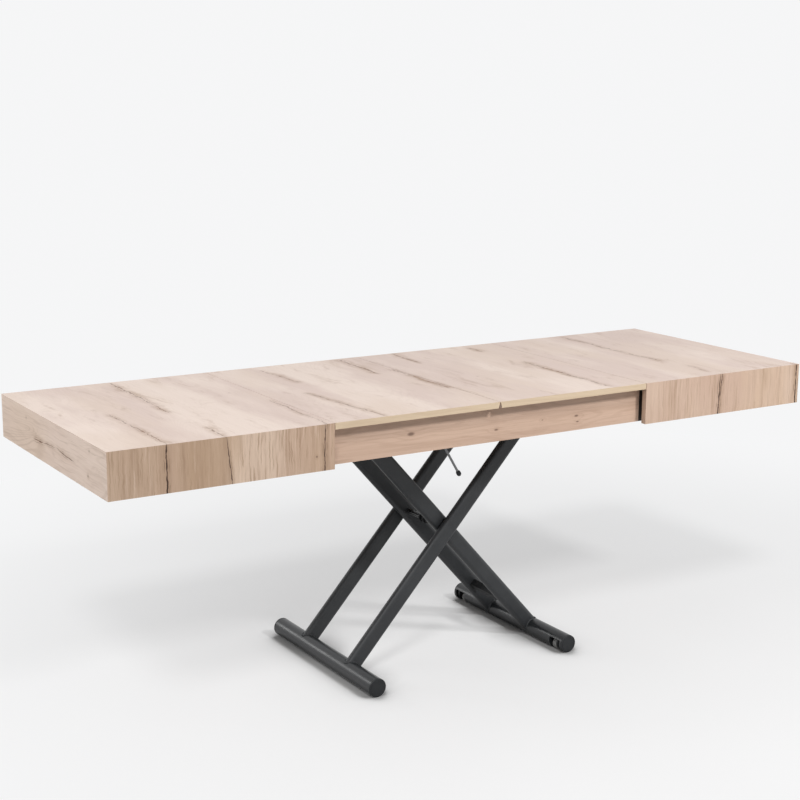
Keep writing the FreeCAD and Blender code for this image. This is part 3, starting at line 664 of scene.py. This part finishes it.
# the spring's cross bar, clevis and washers sit between the inner legs; their darker black is partly painted
# shade
wear(finish["dullBlackAndShade"], "spring_cross_bar", "spring_clevis", "axle_washers")
wear(finish["zincPlate"], "foot_axle", "slide_axle", "upper_pivot_axle", "pivot_spacers", "slide_channels",
     "wheel_pins")
wear(finish["mouldedBlack"], "fixed_foot_caps", "rolling_foot_caps", "lever_knob")
wear(finish["whiteNylon"], "foot_bushes", "roller_front", "roller_back")
wear(finish["treadGrey"], "wheel_front", "wheel_back")
wear(finish["springEnamel"], "gas_spring_cylinder")
wear(finish["nitridedRod"], "gas_spring_rod", "centre_axle")
wear(finish["leverSteel"], "release_lever")
for side in ("left", "right"):
    wear(finish["zincPlate"], *(f"{side}_runner_{part}" for part in ("fixed", "middle", "end")))
    wear(finish["hingeBrass"], side + "_hinge_barrels", side + "_leaf_hinge_barrels")
print("metal and plastic done")


def boxMiddle(node):
    low, high = (np.array(corner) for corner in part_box(node))
    return (low + high) / 2, high - low


# The scissor base's span between its feet, and its rise from a foot to the upper pivots. The caps stand on
# the floor, so the feet's axes lie at half the caps' height.
footX = {bar: boxMiddle(bar)[0][0] for bar in ("fixed_foot_bar", "rolling_foot_bar")}
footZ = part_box("fixed_foot_caps")[1][2] / 2
frameSpan = footX["rolling_foot_bar"] - footX["fixed_foot_bar"]
frameRise = boxMiddle("upper_pivot_axle")[0][2] - footZ
creaseAngle = 38.0  # edges that turn by more than this, in degrees, stay sharp


# Small pieces. Each is a grid of points: wrapped round in its second parameter, and in its first one too if
# it is a ring. Open ends are closed by a flat face.
def gridPiece(name, copies, ring, body, material):
    count, rows, cols = copies.shape[:3]
    steps = rows if ring else rows - 1
    c, i, j = np.meshgrid(np.arange(count), np.arange(steps), np.arange(cols), indexing="ij")
    nextRow, nextCol = (i + 1) % rows, (j + 1) % cols
    corners = ((i, j), (nextRow, j), (nextRow, nextCol), (i, nextCol))
    quads = np.stack([(c * rows + row) * cols + col for row, col in corners], -1).reshape(-1, 4)
    faces = quads.tolist()
    if not ring:
        first = np.arange(count)[:, None] * rows * cols + np.arange(cols)
        faces += first.tolist() + (first[:, ::-1] + (rows - 1) * cols).tolist()
    points = copies.reshape(-1, 3)
    mesh = bpy.data.meshes.new(name)
    mesh.from_pydata(points.tolist(), [], faces)
    # the quads' share of the volume is negative where they face inwards
    a, b, d = (points[quads[:, k]] for k in (0, 1, 3))
    middle = copies.mean(axis=(1, 2))[c.reshape(-1)]
    if np.einsum("ij,ij->i", a - middle, np.cross(b - a, d - a)).sum() < 0:
        mesh.flip_normals()
    mesh.shade_smooth()
    mesh.set_sharp_from_angle(angle=math.radians(creaseAngle))
    mesh.materials.append(material)
    piece = bpy.data.objects.new(name, mesh)
    scene.collection.objects.link(piece)
    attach(piece, body)
    return piece


def turned(centre, axis, profile, steps):
    # a profile of (height, radius) turned about an axis: height along it, radius away from it at each angle
    axis = np.array(axis) / np.linalg.norm(axis)
    aside = np.cross(axis, (0.0, 0.0, 1.0) if abs(axis[2]) < 0.9 else (1.0, 0.0, 0.0))
    aside /= np.linalg.norm(aside)
    angle = np.linspace(0, 2 * np.pi, steps, endpoint=False)
    spokes = np.cos(angle)[:, None] * aside + np.sin(angle)[:, None] * np.cross(axis, aside)
    height, radius = np.array(profile).T
    return np.array(centre) + height[:, None, None] * axis + radius[:, None, None] * spokes


# Wheels in the right foot: a hub on its pin and a tyre with rounded shoulders and two grooves. Heights count
# outwards along the pin from the hub's inner end.
wheels = {"tyreStart": 0.0056, "tyreWidth": 0.015, "bore": 0.00305, "hub": 0.008, "chamfer": 0.0008,
          "web": 0.0015, "rim": 0.0045, "shoulder": 0.0022, "shoulderPoints": 7, "groove": 0.0007,
          "steps": 72,
          # edge, bottom and other edge of each groove, as shares of the tyre's width
          "grooveShares": (0.30, 0.34, 0.38, 0.62, 0.66, 0.70)}
for side, body, way in (("front", "front_wheel", -1.0), ("back", "back_wheel", 1.0)):
    middle, size = boxMiddle("wheel_" + side)
    radius, length = size[2] / 2, size[1]
    start, stop = wheels["tyreStart"], wheels["tyreStart"] + wheels["tyreWidth"]
    hub, chamfer, web = wheels["hub"], wheels["chamfer"], wheels["web"]
    bend, rim = wheels["shoulder"], radius - wheels["rim"]
    curve = np.linspace(0, np.pi / 2, wheels["shoulderPoints"])
    rising = [(start + bend * (1 - math.cos(t)), radius - bend * (1 - math.sin(t))) for t in curve]
    falling = [(start + stop - height, away) for height, away in rising[::-1]]
    grooves = [(start + share * wheels["tyreWidth"], radius - wheels["groove"] * (k % 3 == 1))
               for k, share in enumerate(wheels["grooveShares"])]
    flank = [(0.0, wheels["bore"]), (0.0, hub - chamfer), (chamfer, hub), (start + web, hub),
             (start + web, rim), (start, rim)]
    otherFlank = [(stop, rim), (stop - web, rim), (stop - web, hub), (length - chamfer, hub),
                  (length, hub - chamfer), (length, wheels["bore"])]
    inner = middle - np.array([0.0, way * length / 2, 0.0])
    shape = turned(inner, (0.0, way, 0.0), flank + rising + grooves + falling + otherFlank, wheels["steps"])
    wheel = gridPiece(side + "Wheel", shape[None], True, body, finish["treadGrey"])
    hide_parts("wheel_" + side)

# Lever knob: an egg on the end of the rod. Its radius is a rounded square's, fuller towards the free end.
# The profile stops short of the poles by a small angle, and flat faces close it.
knob = {"lean": 31.0, "halfLength": 0.0090, "radius": 0.0066, "power": 2.3, "fuller": 0.10, "pole": 0.06,
        "rows": 33, "steps": 40}
knobLean = math.radians(knob["lean"])
share = np.cos(np.linspace(np.pi - knob["pole"], knob["pole"], knob["rows"]))
swell = (1 - np.abs(share) ** knob["power"]) ** (1 / knob["power"]) * (1 + knob["fuller"] * share)
profile = np.stack([share * knob["halfLength"], swell * knob["radius"] / (1 + knob["fuller"] / 2)], -1)
knobAxis = (math.sin(knobLean), 0.0, -math.cos(knobLean))
shape = turned(boxMiddle("lever_knob")[0], knobAxis, profile, knob["steps"])
leverKnob = gridPiece("leverKnob", shape[None], False, "lever", finish["mouldedBlack"])
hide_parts("lever_knob")

# Weld beads where the oval legs stand on the foot bars. A bead follows the oval down the leg to the bar's
# round side: at a distance u from the leg's axis, the bar is met where its own circle has that half chord.
# Crossing says how fast the bead runs along the oval's flats, and u counts up to most of the bar's radius.
welds = {"barRadius": 0.0247, "legWidth": 0.046, "legDepth": 0.0234, "stand": 0.0006, "bead": 0.0021,
         "ripple": 0.00030, "ripples": 46, "crossing": 12, "most": 0.985, "rows": 368, "steps": 10}


def weldBead(foot, lean, y):
    turn = np.linspace(0, 2 * np.pi, welds["rows"], endpoint=False)
    end = welds["legDepth"] / 2 + welds["stand"]
    flat = (welds["legWidth"] - welds["legDepth"]) / 2
    u = end * np.cos(turn) + flat * np.clip(np.cos(turn) * welds["crossing"], -1, 1)
    v = end * np.sin(turn)
    halfChord = np.minimum(np.abs(u), welds["barRadius"] * welds["most"])
    reach = np.sqrt(welds["barRadius"] ** 2 - halfChord ** 2)
    along = np.array([math.sin(lean), 0, math.cos(lean)])
    aside = np.array([math.cos(lean), 0, -math.sin(lean)])
    line = foot + reach[:, None] * along + u[:, None] * aside + (v + y)[:, None] * np.array([0.0, 1.0, 0.0])
    ahead = np.roll(line, -1, axis=0) - np.roll(line, 1, axis=0)
    ahead /= np.linalg.norm(ahead, axis=1, keepdims=True)
    outward = np.cross(ahead, along)
    outward /= np.linalg.norm(outward, axis=1, keepdims=True)
    upward = np.cross(ahead, outward)
    angle = np.linspace(0, 2 * np.pi, welds["steps"], endpoint=False)
    bead = welds["bead"] + welds["ripple"] * np.cos(turn * welds["ripples"])
    sweep = np.cos(angle)[None, :, None] * outward[:, None] + np.sin(angle)[None, :, None] * upward[:, None]
    return line[:, None] + bead[:, None, None] * sweep


for bar, legs, body, way in (("fixed_foot_bar", "outer_leg", "outer_frame", 1.0),
                             ("rolling_foot_bar", "inner_leg", "inner_frame", -1.0)):
    foot = np.array([footX[bar], 0.0, footZ])
    legLean = way * math.atan2(frameSpan, frameRise)
    beads = [weldBead(foot, legLean, boxMiddle(f"{legs}_{end}")[0][1]) for end in ("front", "back")]
    gridPiece(legs + "Welds", np.stack(beads), True, body, finish["blackCoat"])

# Foot cap rings: a low round ridge near the rim of each end face
capRings = {"radius": 0.0195, "ridge": 0.0007, "rows": 10, "steps": 72}
ridge = np.linspace(0, 2 * np.pi, capRings["rows"], endpoint=False)
ridgeAway = capRings["radius"] + capRings["ridge"] * np.cos(ridge)
ridgeProfile = np.stack([capRings["ridge"] * np.sin(ridge), ridgeAway], -1)
for caps, body in (("fixed_foot_caps", "floor_foot"), ("rolling_foot_caps", "inner_frame")):
    middle, size = boxMiddle(caps)
    middle[2] = footZ
    ridges = [turned(middle + np.array([0, way * size[1] / 2, 0]), (0.0, way, 0.0), ridgeProfile,
                     capRings["steps"]) for way in (-1.0, 1.0)]
    gridPiece(caps + "_rings", np.stack(ridges), True, body, finish["mouldedBlack"])

# Screws: low domed heads with a dimple, on the pivot brackets and on the lever's bracket. The dome takes up
# its share of the radius. The dimple's rim and floor are multiples of its radius, and its floor lies at a
# share of the head's height.
screws = {"radius": 0.0042, "height": 0.0022, "dome": 0.45, "domeStart": 0.1, "domePoints": 6,
          "dimple": 0.0014, "dimpleRim": 1.2, "dimpleFloor": 0.6, "floorHeight": 0.45, "pivotReach": 0.021,
          "leverReach": 0.010, "plate": 0.004, "steps": 20}
domeAngle = np.linspace(screws["domeStart"], np.pi / 2, screws["domePoints"])
domeAway = screws["radius"] * (1 - screws["dome"] + screws["dome"] * np.cos(domeAngle))
headProfile = [(0.0, screws["radius"])]
headProfile += list(zip(screws["height"] * np.sin(domeAngle), domeAway))
headProfile += [(screws["height"], screws["dimple"] * screws["dimpleRim"]),
                (screws["height"] * screws["floorHeight"], screws["dimple"] * screws["dimpleFloor"])]
heads = []
middle, size = boxMiddle("pivot_brackets")
for way in (-1.0, 1.0):
    face = way * (size[1] / 2 - screws["plate"])
    for reach in (-1.0, 1.0):
        spot = middle + np.array([reach * screws["pivotReach"], face, 0.0])
        heads.append(turned(spot, (0.0, -way, 0.0), headProfile, screws["steps"]))
middle = boxMiddle("lever_bracket")[0]
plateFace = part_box("lever_bracket")[1][1] - screws["plate"]
for reachX in (-1.0, 1.0):
    for reachZ in (-1.0, 1.0):
        spot = np.array([middle[0] + reachX * screws["leverReach"], plateFace,
                         middle[2] + reachZ * screws["leverReach"]])
        heads.append(turned(spot, (0.0, -1.0, 0.0), headProfile, screws["steps"]))
gridPiece("bracketScrews", np.stack(heads), False, "chassis", finish["zincPlate"])

# Spring gland: the collar at the mouth of the gas spring's cylinder. Start and stop count along the spring
# from the centre axle, and rise is how far the spring's axis lies above it.
gland = {"start": 0.066, "stop": 0.076, "rise": 0.03094, "radius": 0.0112, "bore": 0.0045, "round": 0.0012,
         "steps": 48}
slope = math.atan2(frameRise, frameSpan)
springDown = np.array([math.cos(slope), 0, -math.sin(slope)])
springUp = np.array([math.sin(slope), 0, math.cos(slope)])
start, stop, radius, turnIn = (gland[part] for part in ("start", "stop", "radius", "round"))
glandProfile = [(start, gland["bore"]), (start, radius - turnIn), (start + turnIn, radius),
                (stop - turnIn, radius), (stop, radius - turnIn), (stop, gland["bore"])]
springMiddle = boxMiddle("centre_axle")[0] + gland["rise"] * springUp
shape = turned(springMiddle, springDown, glandProfile, gland["steps"])
gridPiece("springGland", shape[None], True, "inner_frame", finish["mouldedBlack"])
print("small pieces done")


# Studio: a pale floor that fades into an even pale background, a far lamp at the front left, and near lamps
# on the left, in front and behind
studio = {
    "background": (0.918, 0.920, 0.926),
    "floorTone": (0.43, 0.43, 0.43),
    "floorShade": (0.415, 0.415, 0.415),
    "floorCloud": {"turns": (0.8, 0.8, 0.8), "detail": 2.0},
    "cloudRange": (0.3, 0.7),
    "floorRoughness": 0.75,
    "floorShine": 0.1,
    "floorRadius": 30.0,
    "floorRings": 24,
    "floorSpokes": 96,
    "fadeMiddle": (0.45, 0.0),
    "fadeStart": 0.7,
    "fadeEnd": 2.5,
    # the floor's own glow for the eye, how near a thing stands that dims it, and how the glow grows with the
    # share of the sky that is open: below 0 it is none. Dimming the glow near things paints contact shadows
    # on the floor
    "floorGlow": 0.475,
    "contactReach": 0.11,
    "contactRange": (0.45, 1.0),
    "contactGlow": (-0.4, 1.0),
    "ambient": 0.40,
    # a far lamp: where its light comes from, how strong, and how wide it looks in degrees
    "farLamp": {"towards": (-0.54, -0.70, 1.0), "strength": 0.95, "width": 11.0},
    # near lamps: beam is the angle that the light keeps to, in degrees
    "lamps": {
        "left": {"place": (-2.8, 0.1, 1.9), "aim": (-0.7, 0.0, 0.4),
                 "size": 1.5, "power": 8.4, "beam": 110.0},
        "front": {"place": (1.4, -3.5, 3.4), "aim": (0.3, 0.0, 0.6),
                  "size": 0.6, "power": 117.0, "beam": 180.0},
        "back": {"place": (-1.9, 3.1, 1.4), "aim": (-0.3, 0.0, 0.1),
                 "size": 0.9, "power": 3.0, "beam": 90.0},
    },
}


def seenStraight(tree):
    # 1 for what the camera sees, straight, mirrored or through glass, and 0 for light that falls on things
    path = tree.nodes.new("ShaderNodeLightPath")
    seen = calc(tree, "MAXIMUM", path.outputs["Is Camera Ray"], path.outputs["Is Glossy Ray"])
    return calc(tree, "MAXIMUM", seen, path.outputs["Is Transmission Ray"])


def floorMaterial():
    material, tree, shader = newMaterial("studioFloor")
    here = placeOf(tree)
    x, y = splitPlace(tree, here)[:2]
    cloud = remap(tree, noise(tree, here, **studio["floorCloud"]), *studio["cloudRange"])
    tone = tint(tree, cloud, studio["floorTone"], studio["floorShade"])
    tree.links.new(tone, shader.inputs["Base Color"])
    shader.inputs["Roughness"].default_value = studio["floorRoughness"]
    shader.inputs["Specular IOR Level"].default_value = studio["floorShine"]
    seen = seenStraight(tree)
    # painted shadow: an ambient occlusion test dims the floor's glow near the feet and legs, darkening the
    # floor there
    contact = tree.nodes.new("ShaderNodeAmbientOcclusion")
    contact.inputs["Distance"].default_value = studio["contactReach"]
    clear = remap(tree, contact.outputs["AO"], *studio["contactRange"], *studio["contactGlow"])
    shader.inputs["Emission Color"].default_value = (*studio["background"], 1.0)
    glow = calc(tree, "MULTIPLY", calc(tree, "MAXIMUM", clear, 0.0), studio["floorGlow"])
    tree.links.new(calc(tree, "MULTIPLY", glow, seen), shader.inputs["Emission Strength"])
    fade = remap(tree, distance(tree, x, y, *studio["fadeMiddle"]), studio["fadeStart"], studio["fadeEnd"])
    beyond = tree.nodes.new("ShaderNodeEmission")
    beyond.inputs["Color"].default_value = (*studio["background"], 1.0)
    mixed = tree.nodes.new("ShaderNodeMixShader")
    tree.links.new(calc(tree, "MULTIPLY", fade, seen), mixed.inputs[0])
    tree.links.new(shader.outputs[0], mixed.inputs[1])
    tree.links.new(beyond.outputs[0], mixed.inputs[2])
    tree.links.new(mixed.outputs[0], tree.nodes["Material Output"].inputs["Surface"])
    return material


def floorDisk():
    # a flat disk: point (ring, spoke) lies at that ring's radius, turned by that spoke's angle
    rings, spokes = studio["floorRings"], studio["floorSpokes"]
    radius, angle = np.meshgrid(np.linspace(0, studio["floorRadius"], rings + 1)[1:],
                                np.linspace(0, 2 * np.pi, spokes, endpoint=False), indexing="ij")
    points = np.stack([radius * np.cos(angle), radius * np.sin(angle), np.zeros_like(radius)], -1)
    i, j = np.meshgrid(np.arange(rings - 1), np.arange(spokes), indexing="ij")
    k = (j + 1) % spokes
    quads = np.stack([i * spokes + j, (i + 1) * spokes + j, (i + 1) * spokes + k, i * spokes + k], -1)
    faces = quads.reshape(-1, 4).tolist() + [list(range(spokes))]
    mesh = bpy.data.meshes.new("studioFloor")
    mesh.from_pydata(points.reshape(-1, 3).tolist(), [], faces)
    mesh.materials.append(floorMaterial())
    return bpy.data.objects.new("studioFloor", mesh)


studioFloor = floorDisk()
scene.collection.objects.link(studioFloor)

world = bpy.data.worlds.new("studio")
scene.world = world
world.use_nodes = True
backdrop = world.node_tree.nodes["Background"]
backdrop.inputs["Color"].default_value = (*studio["background"], 1.0)
seen = seenStraight(world.node_tree)
strength = remap(world.node_tree, seen, 0.0, 1.0, studio["ambient"], 1.0, smooth=False)
world.node_tree.links.new(strength, backdrop.inputs["Strength"])


def hangLamp(light, place, aim):
    item = bpy.data.objects.new(light.name, light)
    item.location = place
    item.rotation_euler = (Vector(aim) - item.location).to_track_quat("-Z", "Y").to_euler()
    scene.collection.objects.link(item)


farLight = bpy.data.lights.new("farLamp", "SUN")
farLight.energy = studio["farLamp"]["strength"]
farLight.angle = math.radians(studio["farLamp"]["width"])
hangLamp(farLight, studio["farLamp"]["towards"], (0.0, 0.0, 0.0))
for name, lamp in studio["lamps"].items():
    nearLight = bpy.data.lights.new(name, "AREA")
    nearLight.shape = "SQUARE"
    nearLight.size = lamp["size"]
    nearLight.energy = lamp["power"]
    nearLight.spread = math.radians(lamp["beam"])
    hangLamp(nearLight, lamp["place"], lamp["aim"])
print("studio done")


# Camera: where the photograph was taken from, with its turn, tilt, roll and lens
camera = {
    "place": (-2.2266, -3.4641, 1.5664),
    "turn": 31.87,
    "tilt": 11.90,
    "roll": 0.37,
    "lens": 69.82,
    "sensor": 36.0,
    "farthest": 200.0,
}
turn, tilt, roll = (math.radians(camera[part]) for part in ("turn", "tilt", "roll"))
ahead = np.array([math.sin(turn) * math.cos(tilt), math.cos(turn) * math.cos(tilt), -math.sin(tilt)])
level = np.array([math.cos(turn), -math.sin(turn), 0.0])
above = np.cross(level, ahead)
sideways = math.cos(roll) * level + math.sin(roll) * above
upwards = -math.sin(roll) * level + math.cos(roll) * above
lens = bpy.data.cameras.new("camera")
lens.lens = camera["lens"]
lens.sensor_width = camera["sensor"]
lens.clip_end = camera["farthest"]
eye = bpy.data.objects.new("camera", lens)
placed = np.eye(4)
placed[:3] = np.stack([sideways, upwards, -ahead, camera["place"]], -1)
eye.matrix_world = Matrix(placed.tolist())
scene.collection.objects.link(eye)
scene.camera = eye
print("camera done")
